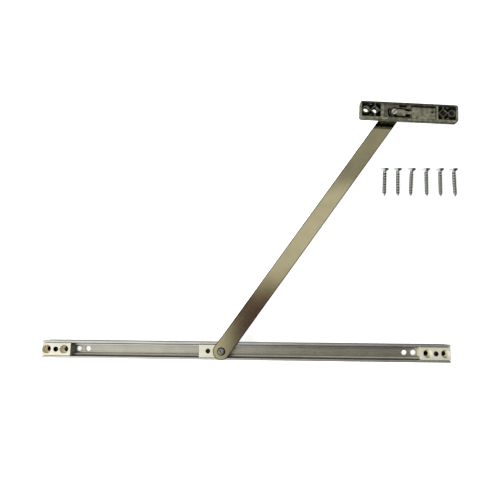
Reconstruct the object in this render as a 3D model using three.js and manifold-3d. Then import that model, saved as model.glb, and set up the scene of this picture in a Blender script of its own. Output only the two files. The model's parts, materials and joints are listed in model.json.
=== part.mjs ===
// Friction stay hinge for a top or side hung window: a channel track with a sliding shoe, a flat arm
// that pivots on the shoe, and a quick-release sash bracket that pivots on the arm's far end, with its
// six loose fixing screws lying beside it.
//
// Millimetres. +X runs along the track, +Y towards the sash bracket, +Z up and out of the channel.
// The origin is the centre of the track's flat underside.

import * as THREE from "three";
import { mergeVertices } from "three/addons/utils/BufferGeometryUtils.js";
import Module from "manifold-3d";

const wasm = await Module();
wasm.setup();

// ---------------------------------------------------------------- driving dimensions

const TRACK = {
  length: 350,
  width: 15,
  height: 12,
  wall: 1.9,
  floor: 1.6,
  ledgeReach: 2.2,
  ledgeLow: 5.2,
  ledgeHigh: 6.4,
  ledgeFall: 0.35,
  grooveWidth: 0.8,
  grooveFloor: 5.8,
  edge: 0.4,
};
const END_BLOCK = { length: 25, top: 12.3, halfWidth: 5.3, tongueHalfWidth: 3.1 };
// Screw places in an end block and beside it, measured inwards from the track's end.
const FROM_END = { outerScrew: 4.2, setScrew: 12.2, innerScrew: 19.3, plainHoles: [28.3, 36.1] };
const SCREW_HOLE_RADIUS = 2.1;
const HEAD_RECESS = { radius: 3.6, depth: 5.1 };

const SLIDER = {
  left: -39,
  right: -15.6,
  footHalfWidth: 5.2,
  neckHalfWidth: 3.1,
  halfWidth: 5.3,
  top: 13.2,
  edge: 0.4,
  endRadius: 3,
};
const PIVOT_X = -19.8;
const ADJUSTER_X = -31.4;

const ARM = { length: 260, width: 14.4, low: 14, high: 17, holeRadius: 2.75, angle: 54.5 };
const SHANK_RADIUS = 2.4;
const WASHER = { radius: 5.2, thickness: 0.7, gap: 0.05 };

// The bracket's own frame: its pin is the origin, u runs along it and v across it.
const BRACKET = {
  angle: -2.8,
  uLow: -30.6,
  uHigh: 56.1,
  vLow: -7.9,
  vHigh: 8.5,
  keelLow: 17.8,
  keelEnd: 53.5,
  low: 22.7,
  floor: 23.8,
  recess: 26.6,
  top: 27.4,
};
const PIN_HEAD_RADIUS = 2.8;
const CATCH = { low: 24.7, high: 25.9 };
const SPRING = { radius: 0.8, wire: 0.22, turns: 7, from: 20.4, to: 34.2, height: 25 };

const SCREW = {
  length: 26.4,
  headRadius: 3.95,
  headHeight: 2.4,
  rim: 0.4,
  coreRadius: 1.45,
  threadRadius: 2.15,
  pitch: 2.45,
  turns: 8,
  tip: 3.2,
  sides: 12,
};
const SCREW_HEAD_Y = 166.4;
// Each loose screw's head centre along the track, and how far it is turned from pointing straight at it.
const LOOSE_SCREWS = [
  { x: 127.3, turn: -2 },
  { x: 139.3, turn: -1 },
  { x: 152.2, turn: -4 },
  { x: 165.4, turn: 0 },
  { x: 178.1, turn: 0 },
  { x: 190.6, turn: 2 },
];

// ---------------------------------------------------------------- materials

const finish = (color, roughness, metalness) =>
  new THREE.MeshStandardMaterial({ color, roughness, metalness });
const anodised = finish(0xb3b1a6, 0.38, 0.9);
const bronzed = finish(0x9a9276, 0.3, 0.95);
const cast = finish(0x77755f, 0.55, 0.8);
const nylon = finish(0xe2dfd0, 0.5, 0);
const zinc = finish(0x8f948a, 0.35, 0.95);
const brass = finish(0xb59b5a, 0.35, 0.95);
const dark = finish(0x3a3833, 0.6, 0.4);

// ---------------------------------------------------------------- solids

// A closed three.js geometry as a solid, without the flat triangles that a lathe leaves on its axis.
function solid(geometry) {
  const bare = geometry.clone();
  bare.deleteAttribute("normal");
  bare.deleteAttribute("uv");
  const merged = mergeVertices(bare, 1e-4);
  const all = merged.index.array;
  const kept = [];
  for (let i = 0; i < all.length; i += 3) {
    const [a, b, c] = [all[i], all[i + 1], all[i + 2]];
    if (a !== b && b !== c && c !== a) {
      kept.push(a, b, c);
    }
  }
  const vertProperties = new Float32Array(merged.attributes.position.array);
  const triVerts = new Uint32Array(kept);
  return new wasm.Manifold(new wasm.Mesh({ numProp: 3, vertProperties, triVerts }));
}

const join = (...solids) => solids.reduce((whole, next) => whole.add(next));
const cut = (from, ...solids) => solids.reduce((whole, next) => whole.subtract(next), from);

// A solid as a named mesh.
function piece(name, shape, material) {
  const made = shape.getMesh();
  const geometry = new THREE.BufferGeometry();
  geometry.setAttribute("position", new THREE.BufferAttribute(made.vertProperties, 3));
  geometry.setIndex(new THREE.BufferAttribute(made.triVerts, 1));
  geometry.computeVertexNormals();
  const mesh = new THREE.Mesh(geometry, material);
  mesh.name = name;
  return mesh;
}

function box(xLow, xHigh, yLow, yHigh, zLow, zHigh) {
  const geometry = new THREE.BoxGeometry(xHigh - xLow, yHigh - yLow, zHigh - zLow);
  geometry.translate((xLow + xHigh) / 2, (yLow + yHigh) / 2, (zLow + zHigh) / 2);
  return solid(geometry);
}

function disc(radius, x, y, zLow, zHigh, sides = 20) {
  const geometry = new THREE.CylinderGeometry(radius, radius, zHigh - zLow, sides);
  geometry.rotateX(Math.PI / 2);
  geometry.translate(x, y, (zLow + zHigh) / 2);
  return solid(geometry);
}

// A turned solid about the vertical through (x, y); its profile is [radius, z] pairs going up.
function turned(profile, x, y, sides = 20) {
  const points = profile.map(([radius, z]) => new THREE.Vector2(radius, z));
  const geometry = new THREE.LatheGeometry(points, sides);
  geometry.rotateX(Math.PI / 2);
  geometry.translate(x, y, 0);
  return solid(geometry);
}

function plate(shape, zLow, zHigh, curveSegments = 4) {
  const settings = { depth: zHigh - zLow, bevelEnabled: false, curveSegments };
  const geometry = new THREE.ExtrudeGeometry(shape, settings);
  geometry.translate(0, 0, zLow);
  return solid(geometry);
}

// A constant section, given as [y, z] pairs, drawn out along X.
function bar(section, xLow, xHigh) {
  const shape = new THREE.Shape(section.map(([y, z]) => new THREE.Vector2(y, z)));
  const geometry = new THREE.ExtrudeGeometry(shape, { depth: xHigh - xLow, bevelEnabled: false });
  const alongX = new THREE.Matrix4().makeBasis(
    new THREE.Vector3(0, 1, 0),
    new THREE.Vector3(0, 0, 1),
    new THREE.Vector3(1, 0, 0),
  );
  geometry.applyMatrix4(alongX);
  geometry.translate(xLow, 0, 0);
  return solid(geometry);
}

// Half of a section, on +Y and going up, completed by its mirror image.
const mirrored = (half) => [...half, ...[...half].reverse().map(([y, z]) => [-y, z])];

function roundedRectangle(xLow, xHigh, yLow, yHigh, radius) {
  const shape = new THREE.Shape();
  const [west, east, south, north] = [xLow + radius, xHigh - radius, yLow + radius, yHigh - radius];
  shape.absarc(east, south, radius, -Math.PI / 2, 0);
  shape.absarc(east, north, radius, 0, Math.PI / 2);
  shape.absarc(west, north, radius, Math.PI / 2, Math.PI);
  shape.absarc(west, south, radius, Math.PI, 1.5 * Math.PI);
  return shape;
}

// ---------------------------------------------------------------- track and end blocks

const screwPlaces = (side) =>
  [FROM_END.outerScrew, FROM_END.innerScrew].map((inwards) => side * (TRACK.length / 2 - inwards));

function makeTrack() {
  const outer = TRACK.width / 2;
  const inner = outer - TRACK.wall;
  const ledge = inner - TRACK.ledgeReach;
  const groove = inner - TRACK.grooveWidth;
  const half = [
    [outer - TRACK.edge, 0],
    [outer, TRACK.edge],
    [outer, TRACK.height - TRACK.edge],
    [outer - TRACK.edge, TRACK.height],
    [inner, TRACK.height],
    [inner, TRACK.grooveFloor],
    [groove, TRACK.grooveFloor],
    [groove, TRACK.ledgeHigh],
    [ledge, TRACK.ledgeHigh - TRACK.ledgeFall],
    [ledge, TRACK.ledgeLow],
    [inner, TRACK.ledgeLow],
    [inner, TRACK.floor],
  ];
  let track = bar(mirrored(half), -TRACK.length / 2, TRACK.length / 2);
  for (const side of [-1, 1]) {
    const plain = FROM_END.plainHoles.map((inwards) => side * (TRACK.length / 2 - inwards));
    for (const x of [...screwPlaces(side), ...plain]) {
      track = cut(track, disc(SCREW_HOLE_RADIUS, x, 0, -1, TRACK.ledgeLow));
    }
  }
  return track;
}

// A moulded block between the channel's walls at one end, with two deep screw recesses and, between
// them, a plain hole for the set screw that locks it to the floor.
function makeEndBlock(side) {
  const outerEnd = (side * TRACK.length) / 2;
  const innerEnd = outerEnd - side * END_BLOCK.length;
  const [xLow, xHigh] = [Math.min(outerEnd, innerEnd), Math.max(outerEnd, innerEnd)];
  const half = [
    [END_BLOCK.tongueHalfWidth, TRACK.floor + 0.1],
    [END_BLOCK.tongueHalfWidth, TRACK.ledgeHigh + 0.2],
    [END_BLOCK.halfWidth, TRACK.ledgeHigh + 0.2],
    [END_BLOCK.halfWidth, END_BLOCK.top - TRACK.edge],
    [END_BLOCK.halfWidth - TRACK.edge, END_BLOCK.top],
  ];
  let block = bar(mirrored(half), xLow, xHigh);
  for (const x of screwPlaces(side)) {
    const seat = END_BLOCK.top - HEAD_RECESS.depth;
    const profile = [
      [0, 0],
      [SCREW_HOLE_RADIUS, 0],
      [SCREW_HOLE_RADIUS, seat - 1],
      [HEAD_RECESS.radius, seat],
      [HEAD_RECESS.radius, END_BLOCK.top + 1],
      [0, END_BLOCK.top + 1],
    ];
    block = cut(block, turned(profile, x, 0));
  }
  const setScrewX = side * (TRACK.length / 2 - FROM_END.setScrew);
  return cut(block, disc(SCREW_HOLE_RADIUS, setScrewX, 0, 0, END_BLOCK.top + 1));
}

// A headless screw with a hexagon socket in its top.
function makeSetScrew(radius, x, zLow, zHigh) {
  const body = turned(
    [
      [0, zLow],
      [radius - 0.5, zLow],
      [radius, zLow + 0.5],
      [radius, zHigh],
      [0, zHigh],
    ],
    x,
    0,
    14,
  );
  return cut(body, disc(radius * 0.55, x, 0, zHigh - 1.5, zHigh + 1, 6));
}

// ---------------------------------------------------------------- slider

// The shoe: a foot under the channel's ledges, a neck between them and a body between the walls that
// stands a little above the lips.
function makeSliderBody() {
  const half = [
    [SLIDER.footHalfWidth, 1.9],
    [SLIDER.footHalfWidth, TRACK.ledgeLow - 0.3],
    [SLIDER.neckHalfWidth, TRACK.ledgeLow - 0.3],
    [SLIDER.neckHalfWidth, TRACK.ledgeHigh + 0.3],
    [SLIDER.halfWidth, TRACK.ledgeHigh + 0.3],
    [SLIDER.halfWidth, SLIDER.top - SLIDER.edge],
    [SLIDER.halfWidth - SLIDER.edge, SLIDER.top],
  ];
  const whole = bar(mirrored(half), SLIDER.left, SLIDER.right);
  const adjusterHole = [
    [0, 1],
    [3, 1],
    [3, 4.6],
    [2.7, 4.6],
    [2.7, 10.4],
    [2, 10.4],
    [2, SLIDER.top + 1],
    [0, SLIDER.top + 1],
  ];
  const pivotHole = [
    [0, 1],
    [3.1, 1],
    [3.1, 3.6],
    [SHANK_RADIUS + 0.2, 3.6],
    [SHANK_RADIUS + 0.2, SLIDER.top + 1],
    [0, SLIDER.top + 1],
  ];
  // The end under the arm is rounded in plan; the plan runs past the other end and leaves it square.
  const { left, right, halfWidth, endRadius } = SLIDER;
  const plan = roundedRectangle(left - 5, right, -halfWidth, halfWidth, endRadius);
  const shoe = whole.intersect(plate(plan, 0, SLIDER.top + 1));
  return cut(shoe, turned(adjusterHole, ADJUSTER_X, 0), turned(pivotHole, PIVOT_X, 0));
}

// The threaded sleeve that the adjuster screw turns in.
function makeFrictionInsert() {
  return cut(disc(2.6, ADJUSTER_X, 0, 5.2, 10.2), disc(2.05, ADJUSTER_X, 0, 5, 11));
}

const makeFrictionPad = () => disc(2.8, ADJUSTER_X, 0, TRACK.floor + 0.1, 4.2);

// The rivet that ties the arm to the shoe: its foot is spread inside the shoe, its domed head has a
// small dimple.
function makePivotRivet() {
  const head = ARM.high + WASHER.gap;
  const profile = [
    [0, 2],
    [2.9, 2],
    [2.9, 3.2],
    [SHANK_RADIUS, 3.4],
    [SHANK_RADIUS, head],
    [3.5, head],
    [3.5, head + 0.45],
    [2.6, head + 0.85],
    [0.8, head + 0.95],
    [0, head + 0.5],
  ];
  return turned(profile, 0, 0);
}

function makeWasher(zLow) {
  const high = zLow + WASHER.thickness;
  return cut(disc(WASHER.radius, 0, 0, zLow, high), disc(3, 0, 0, zLow - 1, high + 1));
}

// ---------------------------------------------------------------- arm

function makeArm() {
  const radius = ARM.width / 2;
  const outline = new THREE.Shape();
  outline.absarc(0, 0, radius, Math.PI / 2, 1.5 * Math.PI);
  outline.absarc(ARM.length, 0, radius, -Math.PI / 2, Math.PI / 2);
  const holes = [0, ARM.length].map((x) => disc(ARM.holeRadius, x, 0, ARM.low - 1, ARM.high + 1));
  return cut(plate(outline, ARM.low, ARM.high, 12), ...holes);
}

// The pin riveted into the arm's end: a groove below its slotted head is what the catch grips.
function makeArmPin() {
  const profile = [
    [0, ARM.low - 1.1],
    [3.8, ARM.low - 1.1],
    [3.8, ARM.low - WASHER.gap],
    [SHANK_RADIUS, ARM.low - WASHER.gap],
    [SHANK_RADIUS, CATCH.low - 0.4],
    [1.8, CATCH.low - 0.2],
    [1.8, CATCH.high + 0.1],
    [PIN_HEAD_RADIUS, CATCH.high + 0.3],
    [PIN_HEAD_RADIUS, BRACKET.top - 0.5],
    [PIN_HEAD_RADIUS - 0.3, BRACKET.top - 0.2],
    [0, BRACKET.top - 0.2],
  ];
  const slot = new THREE.BoxGeometry(2 * PIN_HEAD_RADIUS + 2, 0.7, 1.2);
  slot.rotateZ(Math.PI / 4);
  slot.translate(0, 0, BRACKET.top - 0.2);
  return cut(turned(profile, 0, 0), solid(slot));
}

// ---------------------------------------------------------------- sash bracket

// One end's pocket. Two screw bosses stand on its floor, a round one by the bracket's end and a
// square one set cornerwise, with ribs between them and small round lugs on the walls.
const POCKETS = [
  { uLow: -29, uHigh: -12.2, round: -25.3, square: -17.4, web: -12.2 },
  { uLow: 38.4, uHigh: 54.3, round: 50.6, square: 43, web: 38.4 },
];
const POCKET_V = { low: -5.7, high: 6.9, middle: 0.6 };
const LATTICE_TOP = BRACKET.top - 0.3;

function cornerwise(halfDiagonal, u, v, zLow, zHigh) {
  return disc(halfDiagonal, u, v, zLow, zHigh, 4);
}

function makeLattice(pocket) {
  const [low, high] = [BRACKET.floor - 0.3, LATTICE_TOP];
  const v = POCKET_V.middle;
  const between = (pocket.round + pocket.square) / 2;
  const ribs = [
    box(pocket.square - 0.5, pocket.square + 0.5, POCKET_V.low - 0.5, POCKET_V.high + 0.5, low, high),
    box(Math.min(pocket.square, pocket.web), Math.max(pocket.square, pocket.web), v - 0.5, v + 0.5, low, high),
    box(between - 1, between + 1, v - 0.7, v + 0.7, low, high),
    disc(1.3, between, POCKET_V.low + 0.7, low, high, 10),
    disc(1.3, between, POCKET_V.high - 0.7, low, high, 10),
  ];
  const bosses = [disc(3.4, pocket.round, v, low, high), cornerwise(4.5, pocket.square, v, low, high)];
  const hollows = [
    disc(2.3, pocket.round, v, BRACKET.keelLow - 1, high + 1),
    cornerwise(3.1, pocket.square, v, BRACKET.floor, high + 1),
    disc(SCREW_HOLE_RADIUS, pocket.square, v, BRACKET.keelLow - 1, high + 1),
  ];
  return { added: join(...ribs, ...bosses), hollows };
}

function makeBracketHousing() {
  const outline = roundedRectangle(BRACKET.uLow, BRACKET.uHigh, BRACKET.vLow, BRACKET.vHigh, 2);
  const keel = roundedRectangle(-9, BRACKET.keelEnd, -4.8, 5.4, 2);
  let housing = join(
    plate(outline, BRACKET.low, BRACKET.top),
    plate(keel, BRACKET.keelLow, BRACKET.low + 0.5),
  );
  for (const pocket of POCKETS) {
    const hollow = box(
      pocket.uLow,
      pocket.uHigh,
      POCKET_V.low,
      POCKET_V.high,
      BRACKET.floor,
      BRACKET.top + 1,
    );
    const lattice = makeLattice(pocket);
    housing = cut(join(cut(housing, hollow), lattice.added), ...lattice.hollows);
  }
  const above = BRACKET.top + 1;
  const hollowed = cut(
    housing,
    box(-9.4, 36.9, -6.4, 6.6, BRACKET.recess, above), // shallow recess round the mechanism
    box(-5.8, 14, -5, 3.1, BRACKET.floor, above), // well for the pin's head and the catch
    box(13, 34.5, -1.9, 1.9, BRACKET.floor, above), // run for the catch's tail and its spring
    box(14.9, 36.9, -6.4, 4.9, BRACKET.recess - 0.6, above), // seat for the cover plate
    box(14.9, 36.9, 4.9, 6.3, BRACKET.low + 1.3, above), // groove beside the cover plate
    box(4, 10.8, 4.5, 6.6, BRACKET.low + 0.8, above), // slot beside the well
    disc(4.4, 0, 0, BRACKET.floor, above),
  );
  // The bore's collar stands on the well's floor; its half towards the catch is left off.
  const collar = cut(disc(4.4, 0, 0, BRACKET.floor - 0.3, 26.2), box(-0.5, 5, -5, 5, BRACKET.floor, 27));
  const bore = [disc(3.1, 0, 0, BRACKET.keelLow - 1, above), disc(3.8, 0, 0, BRACKET.floor + 0.5, above)];
  return cut(join(hollowed, collar), ...bore);
}

// The sliding catch: a forked nose in the pin's groove, a flat tongue to push it by and a tail that
// carries the spring under the cover plate.
function makeCatch() {
  const shape = new THREE.Shape();
  const grip = 2.2;
  const spread = Math.PI / 3;
  shape.moveTo(grip * Math.cos(spread), grip * Math.sin(spread));
  shape.lineTo(4, 2.7);
  shape.lineTo(8.8, 2.7);
  shape.lineTo(9.8, 1.4);
  shape.lineTo(20, 1.2);
  shape.lineTo(20, -1.2);
  shape.lineTo(10.6, -1.4);
  shape.lineTo(9.4, -3.3);
  shape.lineTo(4, -3.3);
  shape.absarc(0, 0, grip, -spread, spread, false);
  return plate(shape, CATCH.low, CATCH.high);
}

class Helix extends THREE.Curve {
  getPoint(t, target = new THREE.Vector3()) {
    const turn = 2 * Math.PI * SPRING.turns * t;
    const along = SPRING.from + (SPRING.to - SPRING.from) * t;
    return target.set(along, SPRING.radius * Math.cos(turn), SPRING.height + SPRING.radius * Math.sin(turn));
  }
}

function makeCatchSpring() {
  const wire = new THREE.Shape();
  wire.absarc(0, 0, SPRING.wire, 0, 2 * Math.PI);
  const settings = { steps: 12 * SPRING.turns, extrudePath: new Helix(), curveSegments: 5 };
  return solid(new THREE.ExtrudeGeometry(wire, settings));
}

const COVER = { uLow: 15.2, uHigh: 36, vLow: -6.1, vHigh: 4.6, low: 26.1, high: 27.1, rivetU: 33.3 };

function makeCoverPlate() {
  const outline = roundedRectangle(COVER.uLow, COVER.uHigh, COVER.vLow, COVER.vHigh, 0.6);
  return cut(plate(outline, COVER.low, COVER.high, 2), disc(1.2, COVER.rivetU, 0.7, 25, 28, 12));
}

const makeCoverRivet = () =>
  turned(
    [
      [0, COVER.low + 0.05],
      [0.95, COVER.low + 0.05],
      [0.95, COVER.high - 0.3],
      [0.5, COVER.high - 0.1],
      [0, COVER.high - 0.1],
    ],
    COVER.rivetU,
    0.7,
    10,
  );

// ---------------------------------------------------------------- loose fixing screws

// A countersunk self-tapping screw standing on its point, its thread drawn as rings.
function makeFixingScrew() {
  const profile = [
    [0, 0],
    [0.35, 0.3],
  ];
  for (let turn = 0; turn < SCREW.turns; turn += 1) {
    const z = SCREW.tip + turn * SCREW.pitch;
    profile.push([SCREW.coreRadius, z - 0.45 * SCREW.pitch]);
    profile.push([SCREW.threadRadius, z]);
  }
  profile.push([SCREW.coreRadius, SCREW.length - SCREW.headHeight]);
  profile.push([SCREW.headRadius, SCREW.length - SCREW.rim]);
  profile.push([SCREW.headRadius, SCREW.length]);
  profile.push([0, SCREW.length]);
  const body = turned(profile, 0, 0, SCREW.sides);
  const drive = [0, Math.PI / 2].map((turn) => {
    const blade = new THREE.BoxGeometry(4, 0.9, 2.4);
    blade.rotateZ(turn);
    blade.translate(0, 0, SCREW.length);
    return solid(blade);
  });
  return cut(body, ...drive);
}

// A screw lies on its head's rim and on the lowest thread that still has its full radius.
function layScrew(mesh, { x, turn }) {
  const drop = SCREW.headRadius - SCREW.threadRadius;
  const dip = Math.atan(drop / (SCREW.length - SCREW.rim - SCREW.tip));
  const headHeight = SCREW.headRadius * Math.cos(dip) + SCREW.rim * Math.sin(dip);
  const lean = new THREE.Group();
  lean.position.set(x, SCREW_HEAD_Y, headHeight);
  lean.rotation.z = THREE.MathUtils.degToRad(turn);
  mesh.rotation.x = -(Math.PI / 2) + dip;
  mesh.position.set(0, -SCREW.length * Math.cos(dip), -SCREW.length * Math.sin(dip));
  lean.add(mesh);
  return lean;
}

// ---------------------------------------------------------------- assembly

const track = new THREE.Group();
track.add(
  piece("track", makeTrack(), anodised),
  piece("end_block_left", makeEndBlock(-1), nylon),
  piece("end_block_right", makeEndBlock(1), nylon),
);
for (const [name, side] of [["block_set_screw_left", -1], ["block_set_screw_right", 1]]) {
  const x = side * (TRACK.length / 2 - FROM_END.setScrew);
  track.add(piece(name, makeSetScrew(1.8, x, TRACK.floor + 0.1, 7.5), zinc));
}

const slider = new THREE.Group();
slider.add(
  piece("slider_body", makeSliderBody(), nylon),
  piece("friction_insert", makeFrictionInsert(), brass),
  piece("friction_pad", makeFrictionPad(), dark),
  piece("friction_screw", makeSetScrew(1.8, ADJUSTER_X, 4.4, 10), zinc),
);

// The pivot group stands on the shoe's pivot; the arm group turns in it, and the bracket group turns
// on the arm's far end.
const pivot = new THREE.Group();
pivot.position.x = PIVOT_X;
pivot.add(
  piece("pivot_rivet", makePivotRivet(), zinc),
  piece("pivot_washer", makeWasher(SLIDER.top + WASHER.gap), dark),
);

const arm = new THREE.Group();
arm.rotation.z = THREE.MathUtils.degToRad(ARM.angle);
arm.add(piece("arm", makeArm(), bronzed));

const sash = new THREE.Group();
sash.position.x = ARM.length;
sash.rotation.z = THREE.MathUtils.degToRad(BRACKET.angle - ARM.angle);
sash.add(
  piece("arm_pin", makeArmPin(), zinc),
  piece("bracket_washer", makeWasher(ARM.high + WASHER.gap), dark),
  piece("bracket_housing", makeBracketHousing(), cast),
  piece("catch_slide", makeCatch(), cast),
  piece("catch_spring", makeCatchSpring(), zinc),
  piece("cover_plate", makeCoverPlate(), cast),
  piece("cover_rivet", makeCoverRivet(), zinc),
);
arm.add(sash);
pivot.add(arm);
slider.add(pivot);

const fixings = new THREE.Group();
LOOSE_SCREWS.forEach((place, index) => {
  fixings.add(layScrew(piece(`fixing_screw_${index + 1}`, makeFixingScrew(), zinc), place));
});

const stay = new THREE.Group();
stay.add(track, slider, fixings);

export default stay;
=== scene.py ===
"""The looks of the friction stay hinge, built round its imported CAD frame.

Each visible piece is made again here with fine curves, small rounded edges and a procedural material,
in the place that the frame gives. Pieces are drawn in millimetres in a local frame of their own (the
track's, the arm's or the bracket's) and then set down in metres in the shared frame.
"""

import json
import math

import bpy
from mathutils import Matrix, Vector

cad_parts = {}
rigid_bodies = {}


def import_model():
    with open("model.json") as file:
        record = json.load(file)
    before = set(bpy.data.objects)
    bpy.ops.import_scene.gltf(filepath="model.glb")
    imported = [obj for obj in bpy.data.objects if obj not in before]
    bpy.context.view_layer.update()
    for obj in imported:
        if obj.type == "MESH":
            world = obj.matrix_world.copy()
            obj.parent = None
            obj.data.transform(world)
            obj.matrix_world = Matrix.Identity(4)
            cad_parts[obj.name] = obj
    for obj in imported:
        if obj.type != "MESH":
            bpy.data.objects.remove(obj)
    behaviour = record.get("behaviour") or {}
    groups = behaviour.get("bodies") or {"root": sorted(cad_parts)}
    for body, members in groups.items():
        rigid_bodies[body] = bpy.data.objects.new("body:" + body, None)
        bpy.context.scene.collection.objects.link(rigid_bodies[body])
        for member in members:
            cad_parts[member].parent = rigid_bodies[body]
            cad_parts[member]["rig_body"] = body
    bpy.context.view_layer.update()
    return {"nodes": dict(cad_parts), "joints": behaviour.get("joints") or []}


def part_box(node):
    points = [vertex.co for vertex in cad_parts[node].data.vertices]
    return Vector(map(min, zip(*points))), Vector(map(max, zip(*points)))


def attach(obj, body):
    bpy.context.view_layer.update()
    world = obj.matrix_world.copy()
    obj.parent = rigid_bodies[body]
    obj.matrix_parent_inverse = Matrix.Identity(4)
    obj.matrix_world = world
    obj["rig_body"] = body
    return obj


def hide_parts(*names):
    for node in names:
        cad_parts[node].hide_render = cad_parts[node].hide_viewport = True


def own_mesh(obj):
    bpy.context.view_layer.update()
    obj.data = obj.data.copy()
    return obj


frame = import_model()

MM = 0.001

# ------------------------------------------------------------------ dimensions, in millimetres

TRACK_LIP = 1.9
TRACK_FLOOR = 1.6
LEDGE_REACH = 2.2
LEDGE_LOW = 5.2
LEDGE_HIGH = 6.4
LEDGE_FALL = 0.35
GROOVE_WIDTH = 0.8
GROOVE_FLOOR = 5.8
SCREW_HOLE = 2.1
PLAIN_HOLES_FROM_END = (28.3, 36.1)
SCREWS_FROM_END = (4.2, 19.3)
SET_SCREW_FROM_END = 12.2
HEAD_RECESS_RADIUS = 3.6
HEAD_RECESS_DEPTH = 5.1
BLOCK_HALF = 5.3
NECK_HALF = 3.1
FOOT_HALF = 5.2
SHANK = 2.4
ARM_HALF = 7.2
ARM_HOLE = 2.75
ROUND = 48  # sides of a turned or drilled surface

PIN_HEAD = 2.8
GRIP = 2.2
COLLAR = 4.4
COLLAR_TOP = 26.2
KEEL_END = 53.5
BRACKET_U = (-30.6, 56.1)  # along the bracket, from its pin
BRACKET_V = (-7.9, 8.5)  # across it
PLATE_LOW = 22.7
BRACKET_FLOOR = 23.8
BRACKET_RECESS = 26.6
BRACKET_TOP = 27.4
POCKETS = (
    {"low": -29.0, "high": -12.2, "round": -25.3, "square": -17.4, "web": -12.2},
    {"low": 38.4, "high": 54.3, "round": 50.6, "square": 43.0, "web": 38.4},
)
POCKET_LOW = -5.7
POCKET_HIGH = 6.9
POCKET_MIDDLE = 0.6
EDGE = 0.16  # rounding of the casting's edges
RECESS_LOW = -6.4
SEAT_START = 14.9
SEAT_END = 36.9
COVER = {"low": 15.2, "high": 36.0, "rivet_u": 33.3, "rivet_v": 0.7}

SCREW_CORE = 1.45
SCREW_THREAD = 2.15
SCREW_HEAD = 3.95
SCREW_HEAD_HEIGHT = 2.4
SCREW_PITCH = 2.45


# ------------------------------------------------------------------ local frames

def joint(name):
    return next(j for j in frame["joints"] if j["name"] == name)


pivot = Vector(joint("arm_swing")["pos_m"]) / MM
pin = Vector(joint("bracket_swing")["pos_m"]) / MM
pivot.z = 0
pin.z = 0
bracket_way = joint("catch_release")["axis"]
arm_angle = math.atan2(pin.y - pivot.y, pin.x - pivot.x)
bracket_angle = math.atan2(bracket_way[1], bracket_way[0])
arm_length = (pin - pivot).length

TRACK_FRAME = Matrix.Identity(4)
PIVOT_FRAME = Matrix.Translation(pivot)
ARM_FRAME = Matrix.Translation(pivot) @ Matrix.Rotation(arm_angle, 4, "Z")
BRACKET_FRAME = Matrix.Translation(pin) @ Matrix.Rotation(bracket_angle, 4, "Z")


def corners(node):
    """A CAD node's lowest and highest corner, in millimetres."""
    low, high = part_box(node)
    return low / MM, high / MM


# ------------------------------------------------------------------ shapes

def new_object(name, verts, faces):
    mesh = bpy.data.meshes.new(name)
    mesh.from_pydata([tuple(v) for v in verts], [], faces)
    mesh.validate()
    obj = bpy.data.objects.new(name, mesh)
    bpy.context.scene.collection.objects.link(obj)
    return obj


def prism(outline, low, high):
    """An outline of (x, y) points, counter-clockwise, drawn up from low to high."""
    count = len(outline)
    verts = [(x, y, low) for x, y in outline] + [(x, y, high) for x, y in outline]
    faces = [tuple(reversed(range(count))), tuple(range(count, 2 * count))]
    for i in range(count):
        j = (i + 1) % count
        faces.append((i, j, count + j, count + i))
    return new_object("prism", verts, faces)


def box(x_low, x_high, y_low, y_high, z_low, z_high):
    outline = [(x_low, y_low), (x_high, y_low), (x_high, y_high), (x_low, y_high)]
    return prism(outline, z_low, z_high)


def arc(x, y, radius, start, end, steps):
    """Points on a circle from start to end, in degrees."""
    angles = [math.radians(start + (end - start) * i / steps) for i in range(steps + 1)]
    return [(x + radius * math.cos(a), y + radius * math.sin(a)) for a in angles]


def rounded(x_low, x_high, y_low, y_high, radii, steps=6):
    """A rectangle with its own radius at each corner, from the lower left one counter-clockwise."""
    sw, se, ne, nw = radii
    return (
        arc(x_low + sw, y_low + sw, sw, 180, 270, steps)
        + arc(x_high - se, y_low + se, se, 270, 360, steps)
        + arc(x_high - ne, y_high - ne, ne, 0, 90, steps)
        + arc(x_low + nw, y_high - nw, nw, 90, 180, steps)
    )


def disc(radius, x, y, low, high, sides=ROUND):
    return prism(arc(x, y, radius, 0, 360 - 360 / sides, sides - 1), low, high)


def turned(profile, x=0.0, y=0.0, sides=ROUND):
    """A solid of revolution about the vertical through (x, y), from (radius, z) pairs going up.

    The first and the last pair are on the axis."""
    verts = []
    rings = []
    for radius, z in profile:
        if radius == 0:
            rings.append([len(verts)])
            verts.append((x, y, z))
            continue
        rings.append(list(range(len(verts), len(verts) + sides)))
        for i in range(sides):
            a = 2 * math.pi * i / sides
            verts.append((x + radius * math.cos(a), y + radius * math.sin(a), z))
    faces = []
    for below, above in zip(rings, rings[1:]):
        for i in range(sides):
            j = (i + 1) % sides
            if len(below) == 1:
                faces.append((below[0], above[j], above[i]))
            elif len(above) == 1:
                faces.append((below[i], below[j], above[0]))
            else:
                faces.append((below[i], below[j], above[j], above[i]))
    return new_object("turned", verts, faces)


def bar(half, x_low, x_high):
    """Half of a (y, z) section, on +Y and going up, mirrored and drawn out along X."""
    section = half + [(-y, z) for y, z in reversed(half)]
    obj = prism(section, x_low, x_high)
    height_to_x = Matrix(((0, 0, 1, 0), (1, 0, 0, 0), (0, 1, 0, 0), (0, 0, 0, 1)))
    obj.data.transform(height_to_x)
    return obj


def settle(obj):
    """Makes obj's modifiers part of its mesh."""
    graph = bpy.context.evaluated_depsgraph_get()
    mesh = bpy.data.meshes.new_from_object(obj.evaluated_get(graph))
    obj.modifiers.clear()
    obj.data = mesh
    return obj


def combine(obj, others, operation):
    for other in others:
        modifier = obj.modifiers.new("combine", "BOOLEAN")
        modifier.operation = operation
        modifier.solver = "EXACT"
        modifier.object = other
        settle(obj)
        bpy.data.objects.remove(other)
    return obj


def cut(obj, *others):
    return combine(obj, others, "DIFFERENCE")


def join(obj, *others):
    return combine(obj, others, "UNION")


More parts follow.
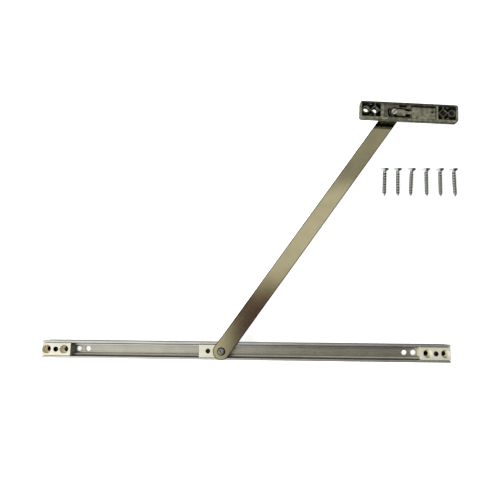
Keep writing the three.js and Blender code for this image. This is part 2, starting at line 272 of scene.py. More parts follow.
def bevel(obj, width, segments, slot):
    """Rounds obj's edges; the new faces take the material in the given slot."""
    modifier = obj.modifiers.new("edges", "BEVEL")
    modifier.width = width
    modifier.segments = segments
    modifier.material = slot
    modifier.use_clamp_overlap = False
    modifier.limit_method = "ANGLE"
    modifier.angle_limit = math.radians(32)
    modifier.harden_normals = True
    modifier.miter_outer = "MITER_ARC"
    return settle(obj)


def place(obj, name, node, local, material, edge=0.0, segments=2, rim=None):
    """Sets obj down from its local frame in millimetres, and lets it stand for its node.

    Its edges are rounded first, and take the rim material where one is given."""
    obj.name = name
    obj.data.polygons.foreach_set("use_smooth", [True] * len(obj.data.polygons))
    obj.data.materials.clear()
    obj.data.materials.append(material)
    if rim:
        obj.data.materials.append(rim)
    if edge:
        bevel(obj, edge, segments, int(rim is not None))
    obj.data.transform(Matrix.Scale(MM, 4) @ local)
    obj.data.name = name
    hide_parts(node)
    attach(obj, frame["nodes"][node]["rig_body"])
    return obj


# ------------------------------------------------------------------ materials

class Graph:
    """The node tree of a material or a world, with short calls for the nodes used here."""

    def __init__(self, owner):
        self.owner = owner
        self.owner.use_nodes = True
        self.tree = self.owner.node_tree
        self.tree.nodes.clear()
        self.coordinates = self.add("TexCoord").outputs

    def add(self, kind, inputs=None, **settings):
        node = self.tree.nodes.new("ShaderNode" + kind)
        for key, value in settings.items():
            setattr(node, key, value)
        for key, value in (inputs or {}).items():
            if isinstance(value, bpy.types.NodeSocket):
                self.tree.links.new(value, node.inputs[key])
            else:
                node.inputs[key].default_value = value
        return node

    def noise(self, scale, detail, vector=None):
        inputs = {"Vector": vector or self.coordinates["Object"], "Scale": scale, "Detail": detail}
        return self.add("TexNoise", inputs).outputs["Fac"]

    def streaks(self, degrees, along, across):
        """Noise drawn out along a direction in the XY plane: its grain sizes are in metres."""
        turn = (0, 0, math.radians(degrees))
        inputs = {"Vector": self.coordinates["Object"], "Rotation": turn, "Scale": (along, across, across)}
        vector = self.add("Mapping", inputs, vector_type="TEXTURE").outputs["Vector"]
        return self.noise(1.0, 3.0, vector)

    def span(self, value, low, high, to_low=0.0, to_high=1.0, curve="LINEAR"):
        """Maps low to high onto to_low to to_high, and stays at the ends past them."""
        inputs = {
            "Value": value,
            "From Min": low,
            "From Max": high,
            "To Min": to_low,
            "To Max": to_high,
        }
        return self.add("MapRange", inputs, interpolation_type=curve).outputs["Result"]

    def mix(self, factor, first, second):
        """Two colours mixed, each of them a socket or three numbers."""
        first, second = [(*c, 1) if isinstance(c, tuple) else c for c in (first, second)]
        return self.add("Mix", {0: factor, 6: first, 7: second}, data_type="RGBA").outputs[2]

    def math(self, operation, first, second):
        return self.add("Math", {0: first, 1: second}, operation=operation).outputs["Value"]

    def product(self, first, second):
        return self.math("MULTIPLY", first, second)

    def total(self, first, second):
        return self.math("ADD", first, second)

    def edges(self):
        """1 on a convex edge, 0 on flats."""
        return self.span(self.add("NewGeometry").outputs["Pointiness"], 0.51, 0.6)

    def finish(self, colour, roughness, height, depth, metallic):
        """The material, with a relief that is depth metres deep."""
        bump = self.add("Bump", {"Height": height, "Strength": 1.0, "Distance": depth})
        inputs = {
            "Base Color": colour,
            "Roughness": roughness,
            "Normal": bump.outputs["Normal"],
            "Metallic": metallic,
        }
        shader = self.add("BsdfPrincipled", inputs)
        self.add("OutputMaterial", {"Surface": shader.outputs["BSDF"]})
        return self.owner


def toned(colour, factor):
    """A darker or paler tone of a colour."""
    return tuple(factor * c for c in colour)


def drawn_metal(name, base, degrees, roughness, metallic=1.0, depth=0.000012):
    """Rolled, drawn or brushed metal: long fine lines and slow blotches of tone."""
    g = Graph(bpy.data.materials.new(name))
    lines = g.streaks(degrees, 0.06, 0.00035)
    blotches = g.noise(70.0, 4.0)
    specks = g.noise(900.0, 2.0)
    tone = g.span(g.total(blotches, g.product(lines, 0.5)), 0.55, 0.95)
    colour = g.mix(tone, base, toned(base, 0.86))
    shine = g.span(g.total(lines, g.product(specks, 0.3)), 0.45, 0.85, *roughness)
    height = g.total(lines, g.product(blotches, 0.6))
    return g.finish(colour, shine, height, depth, metallic)


def cast_metal(name, base, shadow=None):
    """Die cast metal, mottled dark and pale; a painted shadow colour, where given, darkens it with depth
    below the bracket's face.
    """
    g = Graph(bpy.data.materials.new(name))
    grain = g.noise(1700.0, 4.0)
    mottle = g.noise(300.0, 5.0)
    tone = g.span(mottle, 0.38, 0.66)
    colour = g.mix(tone, toned(base, 0.5), toned(base, 1.25))
    if shadow:
        height = g.add("SeparateXYZ", {"Vector": g.coordinates["Object"]}).outputs["Z"]
        depth = g.span(height, (BRACKET_FLOOR + 0.2) * MM, (BRACKET_RECESS - 0.2) * MM)
        colour = g.mix(depth, shadow, colour)
    roughness = g.span(grain, 0.3, 0.7, 0.36, 0.58)
    return g.finish(colour, roughness, g.total(grain, mottle), 0.00004, 0.85)


def moulded(name, base, cloud_tone, roughness=(0.38, 0.52)):
    """Moulded plastic: nearly even, faintly clouded, with a fine eggshell surface."""
    g = Graph(bpy.data.materials.new(name))
    cloud = g.noise(90.0, 5.0)
    grain = g.noise(1400.0, 3.0)
    colour = g.mix(g.span(cloud, 0.38, 0.7), base, cloud_tone)
    shine = g.span(grain, 0.3, 0.7, *roughness)
    return g.finish(colour, shine, g.total(grain, cloud), 0.00003, 0.0)


def plated(name, base, crest_tone, roughness=(0.2, 0.36)):
    """Bare or plated metal on a small turned part, with a second tone on its crests and edges; on the fixing
    screws that tone is darker, a painted shade.
    """
    g = Graph(bpy.data.materials.new(name))
    bloom = g.noise(320.0, 5.0)
    grain = g.noise(2600.0, 2.0)
    colour = g.mix(g.span(bloom, 0.35, 0.7), base, toned(base, 0.78))
    colour = g.mix(g.product(g.edges(), 0.5), colour, crest_tone)
    shine = g.span(g.total(bloom, g.product(grain, 0.4)), 0.4, 0.9, *roughness)
    return g.finish(colour, shine, grain, 0.00001, 1.0)


ALUMINIUM = drawn_metal("anodised_track", (0.68, 0.66, 0.56), 0, (0.24, 0.38), 0.97)
# A paler tone for the lips' tops and the track's rounded edges: a painted highlight.
ALUMINIUM_HIGHLIGHT = drawn_metal("anodised_edge_painted_highlight", (0.92, 0.91, 0.85), 0, (0.28, 0.4), 1.0)
# A dark tone for the grooves under the lips: painted shade.
ALUMINIUM_GROOVE_SHADE = drawn_metal("anodised_groove_painted_shade", (0.20, 0.195, 0.17), 0, (0.5, 0.6), 0.9)
ARM_WAY = math.degrees(arm_angle)
ARM_METAL = drawn_metal("polished_arm", (0.53, 0.485, 0.305), ARM_WAY, (0.06, 0.13), depth=0.0000025)
# A near black tone for the arm's rounded edges: painted shade.
ARM_EDGE_SHADE = drawn_metal("polished_arm_edge_painted_shade", (0.045, 0.04, 0.03), ARM_WAY, (0.25, 0.35))
CAST = cast_metal("cast_bracket", (0.40, 0.39, 0.28))
CAST_SHADE = cast_metal("cast_bracket_shaded", (0.13, 0.13, 0.10))
# A paler tone for the casting's rounded edges: a painted highlight.
CAST_EDGE_HIGHLIGHT = cast_metal("cast_bracket_edge_painted_highlight", (0.55, 0.54, 0.40))
# A darker tone inside the bracket's pockets, darker still lower down: painted shade.
CAST_INSIDE_SHADE = cast_metal("cast_bracket_inside_painted_shade", (0.22, 0.215, 0.15), (0.004, 0.004, 0.003))
# A near black tone for faces that point down: painted shade under the arm and the bracket.
UNDERSIDE_SHADE = cast_metal("dark_underside_painted_shade", (0.035, 0.032, 0.026))
NYLON = moulded("cream_nylon", (0.57, 0.545, 0.44), (0.51, 0.485, 0.38))
# A paler tone for the walls of the screw recesses: painted light.
NYLON_RECESS_LIGHT = moulded("cream_nylon_recess_painted_light", (0.78, 0.73, 0.59), (0.70, 0.65, 0.52))
# A near black tone for the walls of deep holes: painted shade.
PAINTED_HOLE_SHADE = moulded("painted_hole_shade", (0.03, 0.018, 0.012), (0.012, 0.008, 0.006), (0.7, 0.85))
ZINC = plated("zinc_plate", (0.40, 0.42, 0.36), (0.72, 0.75, 0.68))
# The fixing screws' crests and edges take a darker tone: painted shade.
SCREW_ZINC = plated("zinc_screw", (0.86, 0.88, 0.80), (0.5, 0.52, 0.45), (0.2, 0.3))
# A dark tone for the ridges of the screws' threads: painted shade.
THREAD_SHADE = plated("thread_painted_shade", (0.17, 0.175, 0.135), (0.10, 0.10, 0.08), (0.2, 0.3))
RIVET = plated("rivet_head", (0.34, 0.325, 0.28), (0.5, 0.48, 0.42))
NICKEL = plated("nickel_pin", (0.80, 0.85, 0.73), (0.95, 0.97, 0.9), (0.25, 0.4))
# A near black steel for small parts and faces that stand in shade: painted shade.
SHADE_STEEL = plated("dark_steel_painted_shade", (0.06, 0.056, 0.05), (0.14, 0.13, 0.12), (0.3, 0.45))
BRASS = plated("brass_insert", (0.60, 0.46, 0.20), (0.85, 0.70, 0.40), (0.25, 0.4))
POLYMER = moulded("dark_polymer", (0.05, 0.048, 0.044), (0.03, 0.03, 0.028), (0.45, 0.6))
WIRE = plated("spring_wire", (0.55, 0.55, 0.53), (0.8, 0.8, 0.78))


def paint(obj, material, wanted):
    """Gives a material of its own to the faces of obj that wanted(centre in millimetres, normal) picks."""
    obj.data.materials.append(material)
    slot = len(obj.data.materials) - 1
    for polygon in obj.data.polygons:
        if wanted(polygon.center / MM, polygon.normal):
            polygon.material_index = slot


def faces_down(centre, normal):
    return normal.z < -0.5


def paint_hole_walls(obj, centres, radius, below, material=PAINTED_HOLE_SHADE):
    """Gives the walls of holes, below a height in millimetres, a material of their own: painted shade unless
    another is given.
    """
    def deep(centre, normal):
        near = min((centre.xy - Vector(hole)).length for hole in centres)
        return near < radius + 0.05 and centre.z < below

    paint(obj, material, deep)


# ------------------------------------------------------------------ track and end blocks

_, track_high = corners("track")
half_length = track_high.x
outer = track_high.y
lip = track_high.z


def make_track():
    inner = outer - TRACK_LIP
    ledge = inner - LEDGE_REACH
    groove = inner - GROOVE_WIDTH
    half = [
        (outer, 0),
        (outer, lip),
        (inner, lip),
        (inner, GROOVE_FLOOR),
        (groove, GROOVE_FLOOR),
        (groove, LEDGE_HIGH),
        (ledge, LEDGE_HIGH - LEDGE_FALL),
        (ledge, LEDGE_LOW),
        (inner, LEDGE_LOW),
        (inner, TRACK_FLOOR),
    ]
    obj = bar(half, -half_length, half_length)
    for side in (-1, 1):
        for from_end in SCREWS_FROM_END + PLAIN_HOLES_FROM_END:
            cut(obj, disc(SCREW_HOLE, side * (half_length - from_end), 0, -1, LEDGE_LOW))
    return obj


# The track's rounded edges take the paler tone: a painted highlight.
channel = place(make_track(), "track_channel", "track", TRACK_FRAME, ALUMINIUM, 0.32, 3, ALUMINIUM_HIGHLIGHT)


def in_shaded_groove(centre, normal):
    """The grooves beside the walls and the foot of the walls over them, which take painted shade."""
    inner = outer - TRACK_LIP
    within = inner - GROOVE_WIDTH - 0.1 < abs(centre.y) < inner + 0.1
    return within and GROOVE_FLOOR - 0.1 < centre.z < LEDGE_HIGH + 0.1


# The grooves by the walls are painted dark: painted shade.
paint(channel, ALUMINIUM_GROOVE_SHADE, in_shaded_groove)
# The flat tops of the lips are painted pale: a painted highlight.
paint(channel, ALUMINIUM_HIGHLIGHT, lambda centre, normal: centre.z > lip - 0.1 and normal.z > 0.9)


def make_end_block(node, side):
    low, high = corners(node)
    half = [
        (NECK_HALF, low.z),
        (NECK_HALF, LEDGE_HIGH + 0.2),
        (BLOCK_HALF, LEDGE_HIGH + 0.2),
        (BLOCK_HALF, high.z),
    ]
    obj = bar(half, low.x, high.x)
    seat = high.z - HEAD_RECESS_DEPTH
    for from_end in SCREWS_FROM_END:
        x = side * (half_length - from_end)
        recess = [(0, 0), (SCREW_HOLE, 0), (SCREW_HOLE, seat - 1)]
        recess += [(HEAD_RECESS_RADIUS, seat), (HEAD_RECESS_RADIUS, high.z + 1), (0, high.z + 1)]
        cut(obj, turned(recess, x, 0))
    x = side * (half_length - SET_SCREW_FROM_END)
    return cut(obj, disc(SCREW_HOLE, x, 0, 0, high.z + 1))


def make_set_screw(node):
    """A headless screw with turned thread grooves and a hexagon socket."""
    low, high = corners(node)
    middle = (low + high) / 2
    radius = (high.x - low.x) / 2
    pitch = 0.7
    profile = [(0, low.z), (radius - 0.5, low.z), (radius, low.z + 0.5)]
    z = low.z + 0.9
    while z < high.z - pitch:
        profile += [(radius, z), (radius - 0.28, z + 0.2), (radius, z + 0.4)]
        z += pitch
    profile += [(radius, high.z), (0, high.z)]
    socket = disc(radius * 0.55, middle.x, 0, high.z - 1.5, high.z + 1, 6)
    return cut(turned(profile, middle.x, 0), socket)


for word, side in (("left", -1), ("right", 1)):
    node = "end_block_" + word
    block = place(make_end_block(node, side), node + "_moulding", node, TRACK_FRAME, NYLON, 0.3, 3)
    top = corners(node)[1].z
    screws = [(side * (half_length - from_end), 0) for from_end in SCREWS_FROM_END]
    # The recess walls are painted paler: painted light. The holes below them and the set screw's hole are
    # painted near black: painted shade.
    paint_hole_walls(block, screws, HEAD_RECESS_RADIUS, top - 0.5, NYLON_RECESS_LIGHT)
    paint_hole_walls(block, screws, SCREW_HOLE, top - HEAD_RECESS_DEPTH - 0.9)
    paint_hole_walls(block, [(side * (half_length - SET_SCREW_FROM_END), 0)], SCREW_HOLE, top - 0.8)
    node = "block_set_screw_" + word
    place(make_set_screw(node), node + "_turned", node, TRACK_FRAME, ZINC, 0.05, 1)

# ------------------------------------------------------------------ slider

slider_low, slider_high = corners("slider_body")
adjuster_low, adjuster_high = corners("friction_screw")
adjuster_x = (adjuster_low.x + adjuster_high.x) / 2


def make_slider():
    """The shoe: a foot under the track's ledges, a neck between them and a body between the lips."""
    half = [
        (FOOT_HALF, slider_low.z),
        (FOOT_HALF, LEDGE_LOW - 0.3),
        (NECK_HALF, LEDGE_LOW - 0.3),
        (NECK_HALF, LEDGE_HIGH + 0.3),
        (BLOCK_HALF, LEDGE_HIGH + 0.3),
        (BLOCK_HALF, slider_high.z),
    ]
    top = slider_high.z + 1
    # From the foot up: room for the friction pad, for the insert, and for the adjuster alone.
    adjuster_hole = [(0, 1), (3, 1), (3, 4.6), (2.7, 4.6), (2.7, 10.4), (2, 10.4), (2, top), (0, top)]
    # Wide at the foot, where the rivet is spread.
    pivot_hole = [(0, 1), (3.1, 1), (3.1, 3.6), (SHANK + 0.2, 3.6), (SHANK + 0.2, top), (0, top)]
    obj = bar(half, slider_low.x, slider_high.x)
    # The end under the arm is rounded in plan; the plan runs past the other end and leaves it square.
    plan = rounded(slider_low.x - 5, slider_high.x, -BLOCK_HALF, BLOCK_HALF, (1, 3, 3, 1))
    combine(obj, [prism(plan, 0, top)], "INTERSECT")
    return cut(obj, turned(adjuster_hole, adjuster_x, 0), turned(pivot_hole, pivot.x, 0))


shoe = place(make_slider(), "slider_shoe", "slider_body", TRACK_FRAME, NYLON, 0.32, 3)
# The adjuster's hole is painted near black: painted shade.
paint_hole_walls(shoe, [(adjuster_x, 0)], 2.7, slider_high.z - 0.8)
# The adjuster is painted near black, a painted shade deep in the slider's hole.
adjuster = make_set_screw("friction_screw")
place(adjuster, "friction_screw_turned", "friction_screw", TRACK_FRAME, SHADE_STEEL, 0.05, 1)


def make_washer(node):
    low, high = corners(node)
    radius = (high.x - low.x) / 2
    hole = disc(3, 0, 0, low.z - 1, high.z + 1)
    return cut(disc(radius, 0, 0, low.z, high.z), hole)


place(make_washer("pivot_washer"), "pivot_washer_disc", "pivot_washer", PIVOT_FRAME, POLYMER, 0.12)
place(make_washer("bracket_washer"), "bracket_washer_disc", "bracket_washer", BRACKET_FRAME, POLYMER, 0.12)


def make_rivet():
    """A spread foot, a shank and a stepped head with a dimple in its middle."""
    low, high = corners("pivot_rivet")
    head = high.z - 0.95
    profile = [
        (0, low.z),
        (2.9, low.z),
        (2.9, low.z + 1.2),
        (SHANK, low.z + 1.4),
        (SHANK, head),
        (3.5, head),
        (3.5, head + 0.3),
        (3.35, head + 0.42),
        (2.75, head + 0.5),
        (2.6, head + 0.85),
        (2.4, head + 0.93),
        (1.2, head + 0.95),
        (0.75, head + 0.88),
        (0.45, head + 0.6),
        (0, head + 0.5),
    ]
    return turned(profile)


rivet = place(make_rivet(), "pivot_rivet_head", "pivot_rivet", PIVOT_FRAME, RIVET)
# The head's outer step is painted near black: a painted shadow round the head.
paint(rivet, SHADE_STEEL, lambda centre, normal: (centre - pivot).xy.length > 2.55)

# ------------------------------------------------------------------ arm and its pin

arm_low, arm_high = corners("arm")


def make_arm():
    outline = arc(0, 0, ARM_HALF, 90, 270, 40) + arc(arm_length, 0, ARM_HALF, -90, 90, 40)
    obj = prism(outline, arm_low.z, arm_high.z)
    return cut(obj, *[disc(ARM_HOLE, x, 0, arm_low.z - 1, arm_high.z + 1) for x in (0, arm_length)])


# The arm's rounded edges take the near black tone: painted shade.
arm = place(make_arm(), "arm_bar", "arm", ARM_FRAME, ARM_METAL, 0.65, 4, ARM_EDGE_SHADE)
# Its underside is painted near black: painted shade.
paint(arm, UNDERSIDE_SHADE, faces_down)


def make_pin():
    """A foot under the arm, a shank, a groove for the catch and a slotted head."""
    low, high = corners("arm_pin")
    catch_low, catch_high = corners("catch_slide")
    foot = 3.8
    groove = 1.8
    chamfer = 0.3
    profile = [
        (0, low.z),
        (foot - chamfer, low.z),
        (foot, low.z + chamfer),
        (foot, arm_low.z - 0.05),
        (SHANK, arm_low.z - 0.05),
        (SHANK, catch_low.z - 0.4),
        (groove, catch_low.z - 0.2),
        (groove, catch_high.z + 0.1),
        (PIN_HEAD, catch_high.z + 0.3),
        (PIN_HEAD, high.z - chamfer),
        (PIN_HEAD - chamfer, high.z),
        (0, high.z),
    ]
    slot = box(-PIN_HEAD - 1, PIN_HEAD + 1, -0.35, 0.35, high.z - 0.6, high.z + 1)
    slot.data.transform(Matrix.Rotation(math.radians(45), 4, "Z"))
    return cut(turned(profile), slot)


arm_pin = place(make_pin(), "arm_pin_turned", "arm_pin", BRACKET_FRAME, NICKEL, 0.1)
slot_floor = corners("arm_pin")[1].z - 0.4
# The floor of the head's slot is painted near black: painted shade.
paint(arm_pin, SHADE_STEEL, lambda centre, normal: normal.z > 0.9 and centre.z < slot_floor)

# ------------------------------------------------------------------ sash bracket

bracket_low, _ = corners("bracket_housing")


def add_lattice(obj, pocket):
    """Two screw bosses on the pocket's floor, tied to each other and to the walls by ribs."""
    low = BRACKET_FLOOR - 0.3
    high = BRACKET_TOP - 0.3
    rib = 0.5
    v = POCKET_MIDDLE
    between = (pocket["round"] + pocket["square"]) / 2
    web = sorted((pocket["square"], pocket["web"]))
    join(
        obj,
        box(pocket["square"] - rib, pocket["square"] + rib, POCKET_LOW - 0.5, POCKET_HIGH + 0.5, low, high),
        box(web[0], web[1], v - rib, v + rib, low, high),
        box(between - 1, between + 1, v - 0.7, v + 0.7, low, high),
        disc(1.3, between, POCKET_LOW + 0.7, low, high, 24),
        disc(1.3, between, POCKET_HIGH - 0.7, low, high, 24),
        disc(3.4, pocket["round"], v, low, high),
        disc(4.5, pocket["square"], v, low, high, 4),
    )
    return cut(
        obj,
        disc(2.3, pocket["round"], v, bracket_low.z - 1, high + 1),
        disc(3.1, pocket["square"], v, BRACKET_FLOOR, high + 1, 4),
        disc(SCREW_HOLE - EDGE, pocket["square"], v, bracket_low.z - 1, high + 1),
    )


def make_housing():
    above = BRACKET_TOP + 1
    outline = rounded(*BRACKET_U, *BRACKET_V, (1.6, 2.8, 2.2, 2.2))
    obj = prism(outline, PLATE_LOW, BRACKET_TOP)
    join(obj, prism(rounded(-9, KEEL_END, -4.8, 5.4, (2, 2, 2, 2)), bracket_low.z, PLATE_LOW + 0.5))
    for pocket in POCKETS:
        hollow = rounded(pocket["low"], pocket["high"], POCKET_LOW, POCKET_HIGH, (0.8,) * 4)
        cut(obj, prism(hollow, BRACKET_FLOOR, above))
        add_lattice(obj, pocket)
    recess = prism(rounded(-9.4, SEAT_END, RECESS_LOW, 6.6, (1, 0.4, 0.4, 1)), BRACKET_RECESS, above)
    catch_well = prism(rounded(-5.8, 14, -5, 3.1, (2.5, 0.8, 0.8, 1.5)), BRACKET_FLOOR, above)
    spring_channel = box(13, 34.5, -1.9, 1.9, BRACKET_FLOOR, above)
    plate_seat = box(SEAT_START, SEAT_END, RECESS_LOW, 4.9, BRACKET_RECESS - 0.6, above)
    plate_groove = prism(rounded(SEAT_START, SEAT_END, 4.4, 6.3, (0.3,) * 4), PLATE_LOW + 1.3, above)
    catch_groove = prism(rounded(4, 10.8, 4.5, 6.6, (0.5,) * 4), PLATE_LOW + 0.8, above)
    collar_room = disc(COLLAR, 0, 0, BRACKET_FLOOR, above)
    cut(obj, recess, catch_well, spring_channel, plate_seat, plate_groove, catch_groove, collar_room)
    # The bore's collar stands on the well's floor; its half towards the catch is left off.
    collar = disc(COLLAR, 0, 0, BRACKET_FLOOR - 0.3, COLLAR_TOP)
    cut(collar, box(-0.5, COLLAR + 1, -COLLAR - 1, COLLAR + 1, BRACKET_FLOOR, COLLAR_TOP + 1))
    join(obj, collar)
    bore = disc(3.1, 0, 0, bracket_low.z - 1, above)
    pin_head_room = disc(3.8, 0, 0, BRACKET_FLOOR + 0.5, above)
    cut(obj, bore, pin_head_room)
    # Pierced floors stay open through the rounding of edges when they are made of triangles.
    obj.modifiers.new("triangles", "TRIANGULATE")
    return settle(obj)


housing = make_housing()
# Its rounded edges take the paler tone: a painted highlight.
place(housing, "bracket_casting", "bracket_housing", BRACKET_FRAME, CAST, EDGE, 2, CAST_EDGE_HIGHLIGHT)
to_bracket = (Matrix.Scale(MM, 4) @ BRACKET_FRAME).inverted()


def inside_walls(centre, normal):
    """The pockets, the well and the lattice, within the bracket's rim and below its face."""
    u, v, z = to_bracket @ (centre * MM)
    within = BRACKET_U[0] + 1.5 < u < BRACKET_U[1] - 1.4 and -6.6 < v < 7.1
    return within and PLATE_LOW + 0.5 < z < BRACKET_TOP - 0.25


def far_rim(centre, normal):
    """The rim on the side away from the track."""
    return (to_bracket @ (centre * MM)).y > 6.7


# The pockets, the well and the lattice are painted darker, and darker still lower down: painted shade.
paint(housing, CAST_INSIDE_SHADE, inside_walls)
paint(housing, CAST_SHADE, far_rim)
# Faces that point down are painted near black: painted shade.
paint(housing, UNDERSIDE_SHADE, faces_down)
# The bores of the far pocket are painted near black: painted shade.
for pocket in POCKETS[1:]:
    bores = [(BRACKET_FRAME @ Vector((pocket[boss], POCKET_MIDDLE, 0))).xy for boss in ("round", "square")]
    paint_hole_walls(housing, bores, 2.3, BRACKET_TOP - 1)


def make_catch():
    """A tongue with a hollow nose that grips the pin's groove, shoulders and a narrow tail."""
    low, high = corners("catch_slide")
    outline = arc(0, 0, GRIP, -60, 60, 16)
    outline += [(4, 2.7), (8.8, 2.7), (9.8, 1.4), (20, 1.2)]
    outline += [(20, -1.2), (10.6, -1.4), (9.4, -3.3), (4, -3.3)]
    return prism(list(reversed(outline)), low.z, high.z)


# The catch's rounded edges take the paler tone: a painted highlight.
place(make_catch(), "catch_tongue", "catch_slide", BRACKET_FRAME, CAST, 0.15, 2, CAST_EDGE_HIGHLIGHT)


# The spring's centre line starts behind the catch's tail and ends at the casting, which doesn't move.
SPRING_START, SPRING_END = 20.4, 34.2
SPRING_TURNS = 7
COIL_RADIUS = 0.8
WIRE_RADIUS = 0.22
spring_low, spring_high = corners("catch_spring")
spring_height = (spring_low.z + spring_high.z) / 2


def make_spring():
    per_turn, ring = 28, 10
    steps = SPRING_TURNS * per_turn
    verts = []
    for i in range(steps + 1):
        a = 2 * math.pi * i / per_turn
        along = SPRING_START + (SPRING_END - SPRING_START) * i / steps
        out = Vector((0, math.cos(a), math.sin(a)))
        centre = Vector((along, 0, spring_height)) + out * COIL_RADIUS
        for k in range(ring):
            b = 2 * math.pi * k / ring
            verts.append(centre + out * WIRE_RADIUS * math.cos(b) + Vector((WIRE_RADIUS * math.sin(b), 0, 0)))
    faces = [tuple(range(ring)), tuple(reversed(range(steps * ring, (steps + 1) * ring)))]
    for i in range(steps):
        for k in range(ring):
            m = (k + 1) % ring
            faces.append((i * ring + k, (i + 1) * ring + k, (i + 1) * ring + m, i * ring + m))
    return new_object("spring", verts, faces)


spring = place(make_spring(), "catch_spring_coil", "catch_spring", BRACKET_FRAME, WIRE)
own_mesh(spring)


def make_cover():
    low, high = corners("cover_plate")
    outline = rounded(COVER["low"], COVER["high"], -6.1, 4.6, (0.6,) * 4)
    hole = disc(1.2, COVER["rivet_u"], COVER["rivet_v"], low.z - 1, high.z + 1, 32)
    return cut(prism(outline, low.z, high.z), hole)


# The cover's rounded edges take the paler tone: a painted highlight.
place(make_cover(), "cover_plate_stamping", "cover_plate", BRACKET_FRAME, CAST, 0.15, 2, CAST_EDGE_HIGHLIGHT)


def make_cover_rivet():
    low, high = corners("cover_rivet")
    shank = 0.95
    profile = [
        (0, low.z),
        (shank, low.z),
        (shank, high.z - 0.25),
        (0.5, high.z),
        (0.2, high.z - 0.1),
        (0, high.z - 0.2),
    ]
    return turned(profile, COVER["rivet_u"], COVER["rivet_v"], 32)


# The cover rivet is painted near black: painted shade.
place(make_cover_rivet(), "cover_rivet_head", "cover_rivet", BRACKET_FRAME, SHADE_STEEL)

# ------------------------------------------------------------------ loose fixing screws


def thread_profile(phase):
    """Height of a self-tapping thread's sharp ridge, 0 to 1, at a phase of 0 to 1 along one pitch."""
    return min(1.0, max(0.0, 1.1 - abs(phase - 0.5) / 0.27))


def make_fixing_screw(length):
    """A countersunk self-tapping screw standing on its point, with one true helical thread."""
    sides = 32
    steps = 170
    neck = length - SCREW_HEAD_HEIGHT
    point_radius, point_length = 0.12, 3.4
    run_in, run_out, plain = 4.2, 1.2, 0.4
    verts = [(0, 0, 0)]
    for i in range(1, steps + 1):
        z = neck * i / steps
        core = min(SCREW_CORE, point_radius + SCREW_CORE * z / point_length)
        start = min(1.0, z / run_in)
        end = min(1.0, max(0.0, (neck - plain - z) / run_out))
        ridge = (SCREW_THREAD - SCREW_CORE) * start * end
        for k in range(sides):
            a = 2 * math.pi * k / sides
            phase = (z / SCREW_PITCH - k / sides) % 1.0
            radius = core + ridge * thread_profile(phase)
            verts.append((radius * math.cos(a), radius * math.sin(a), z))
    head = [
        (SCREW_CORE + 0.25, neck + 0.25),
        (SCREW_HEAD - 0.15, length - 0.5),
        (SCREW_HEAD, length - 0.35),
        (SCREW_HEAD, length - 0.12),
        (SCREW_HEAD - 0.12, length),
    ]
    for radius, z in head:
        for k in range(sides):
            a = 2 * math.pi * k / sides
            verts.append((radius * math.cos(a), radius * math.sin(a), z))
    rings = steps + len(head)
    faces = [(0, 1 + (k + 1) % sides, 1 + k) for k in range(sides)]
    for i in range(rings - 1):
        below, above = 1 + i * sides, 1 + (i + 1) * sides
        for k in range(sides):
            m = (k + 1) % sides
            faces.append((below + k, below + m, above + m, above + k))
    faces.append(tuple(range(1 + (rings - 1) * sides, 1 + rings * sides)))
    obj = new_object("fixing_screw", verts, faces)
    # The cross recess is two blades that narrow towards its floor.
    for turn in (0, 90):
        blade = box(-1.9, 1.9, -0.4, 0.4, length - 1.4, length + 1)
        for vertex in blade.data.vertices:
            if vertex.co.z < length:
                vertex.co.x *= 0.35
        blade.data.transform(Matrix.Rotation(math.radians(turn), 4, "Z"))
        cut(obj, blade)
    return obj


def screw_frame(node):
    """Where a loose screw lies: its point, and the way to the middle of its head."""
    points = {tuple(round(c / MM, 3) for c in v.co) for v in frame["nodes"][node].data.vertices}
    points = [Vector(p) for p in points]
    tip = min(points, key=lambda p: p.y)
    reach = max((p - tip).length for p in points)
    rim = [p for p in points if (p - tip).length > reach - 0.05]
    way = (sum(rim, Vector()) / len(rim) - tip).normalized()
    side = Vector((0, 0, 1)).cross(way).normalized()
    up = way.cross(side)
    turn = Matrix((side, up, way)).transposed().to_4x4()
    return Matrix.Translation(tip) @ turn, reach


for number in range(1, 7):
    node = f"fixing_screw_{number}"
    lies, reach = screw_frame(node)
    length = math.sqrt(reach ** 2 - SCREW_HEAD ** 2)
    spin = Matrix.Rotation(math.radians(40 * number), 4, "Z")
    screw = place(make_fixing_screw(length), node + "_threaded", node, lies @ spin, SCREW_ZINC)
    upright = lies.inverted()

    def on_thread(centre, normal):
        x, y, z = upright @ centre
        return math.hypot(x, y) > SCREW_CORE + 0.2 and z < length - SCREW_HEAD_HEIGHT

    # The thread's ridges are painted dark: painted shade.
    paint(screw, THREAD_SHADE, on_thread)

# ------------------------------------------------------------------ hidden CAD nodes that stay

for node, material in (("friction_insert", BRASS), ("friction_pad", POLYMER)):
    obj = frame["nodes"][node]
    obj.data.materials.clear()
    obj.data.materials.append(material)
    weld = obj.modifiers.new("weld", "WELD")
    weld.merge_threshold = 0.000001
    edges = obj.modifiers.new("edges", "BEVEL")
    edges.width = 0.0001
    edges.limit_method = "ANGLE"
    edges.angle_limit = math.radians(40)

# ------------------------------------------------------------------ stage, light and camera

scene = bpy.context.scene
scene.view_settings.view_transform = "Standard"


def stage_plane(name, size_x, size_y, location, colour, glow=0.0):
    """A level card that isn't part of the object."""
    half_x, half_y = size_x / 2, size_y / 2
    corner = [(-half_x, -half_y, 0), (half_x, -half_y, 0), (half_x, half_y, 0), (-half_x, half_y, 0)]
    card = new_object(name, corner, [(0, 1, 2, 3)])
    card.location = location
    material = bpy.data.materials.new(name)
    material.use_nodes = True
    shader = material.node_tree.nodes["Principled BSDF"]
    shader.inputs["Base Color"].default_value = (*colour, 1)
    shader.inputs["Roughness"].default_value = 0.9
    shader.inputs["Specular IOR Level"].default_value = 0.1
    shader.inputs["Emission Color"].default_value = (*colour, 1)
    shader.inputs["Emission Strength"].default_value = glow
    card.data.materials.append(material)
    return card


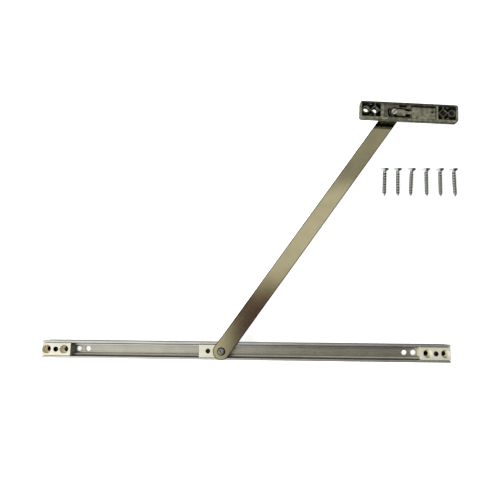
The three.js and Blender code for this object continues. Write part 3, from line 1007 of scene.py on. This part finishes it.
def area_light(name, location, look_at, size, power):
    data = bpy.data.lights.new(name, "AREA")
    data.size = size
    data.energy = power
    light = bpy.data.objects.new(name, data)
    light.location = location
    light.rotation_euler = (Vector(look_at) - Vector(location)).to_track_quat("-Z", "Y").to_euler()
    scene.collection.objects.link(light)
    return light


PALE = (0.93, 0.93, 0.92)

floor = stage_plane("floor", 6.0, 6.0, (0, 0, -0.0003), PALE, glow=0.8)
floor.visible_glossy = False
# The end blocks' screw holes go right through: a dark card under each, a painted shadow, keeps the pale floor
# out of them.
for side in (-1, 1):
    stage_plane("hole_shade", 0.023, 0.01, (side * 0.163, 0, -0.0001), (0.02, 0.015, 0.01))

key = area_light("key", (-0.8, -0.1, 0.75), (0, 0.08, 0), 0.5, 16.0)
key.visible_glossy = False


def soft_room():
    """Soft light from above, that differs by direction: across is the slope towards +X of a way up into
    the room, and ahead its slope towards +Y.

    The room is bright to the left and ahead, and dark straight overhead, to the right and behind. What
    the camera itself sees of it, past the floor, is evenly pale."""
    g = Graph(bpy.data.worlds.new("soft_studio"))
    dark, bright = 0.08, 0.87

    def ramp(value, start, end, low=0.0, high=1.0):
        return g.span(value, start, end, low, high, "SMOOTHSTEP")

    way = g.add("SeparateXYZ", {"Vector": g.coordinates["Generated"]}).outputs
    up = g.math("MAXIMUM", way["Z"], 0.12)
    across = g.math("DIVIDE", way["X"], up)
    ahead = g.math("DIVIDE", way["Y"], up)
    behind = ramp(ahead, -0.25, -0.5)
    overhead = ramp(g.total(g.product(across, across), g.product(ahead, ahead)), 0.0045, 0.0015)
    lit = g.math("MAXIMUM", ramp(across, -0.035, -0.09), ramp(ahead, 0.03, 0.115))

    level = g.total(g.product(lit, bright - dark), dark)
    # Where each change of the light starts and ends, and the factor past it.
    for measure, start, end, factor in (
        (ahead, 0.295, 0.33, 0.42),
        (ahead, 0.34, 0.38, 1.3),
        (ahead, 0.8, 1.6, 0.3),
        (across, 0.45, 1.6, 0.12),
        (behind, 0.0, 1.0, 1.35),
    ):
        level = g.product(level, ramp(measure, start, end, 1.0, factor))

    tint = g.mix(lit, (1.1, 0.98, 0.86), (1.0, 0.985, 0.95))
    tint = g.mix(overhead, tint, (1.45, 0.9, 0.95))
    tint = g.mix(behind, tint, (0.86, 0.97, 1.0))
    lighting = g.add("Background", {"Color": tint, "Strength": level}).outputs["Background"]
    pale = g.add("Background", {"Color": (*PALE, 1), "Strength": 1.0}).outputs["Background"]
    seen = g.add("LightPath").outputs["Is Camera Ray"]
    surface = g.add("MixShader", {0: seen, 1: lighting, 2: pale}).outputs["Shader"]
    g.add("OutputWorld", {"Surface": surface})
    return g.owner


scene.world = soft_room()

# The camera is nearly overhead, tipped a little towards the sash bracket's side.
CAMERA_AT = Vector((0.009695, 0.028633, 0.398736))
CAMERA_TURN = (0.1521, 0.0143, 0.0111)
CAMERA_LENS = 31.795

camera_data = bpy.data.cameras.new("camera")
camera_data.sensor_width = 36
camera_data.lens = CAMERA_LENS
camera_data.clip_start = 0.01
camera = bpy.data.objects.new("camera", camera_data)
camera.location = CAMERA_AT
camera.rotation_euler = CAMERA_TURN
scene.collection.objects.link(camera)
scene.camera = camera
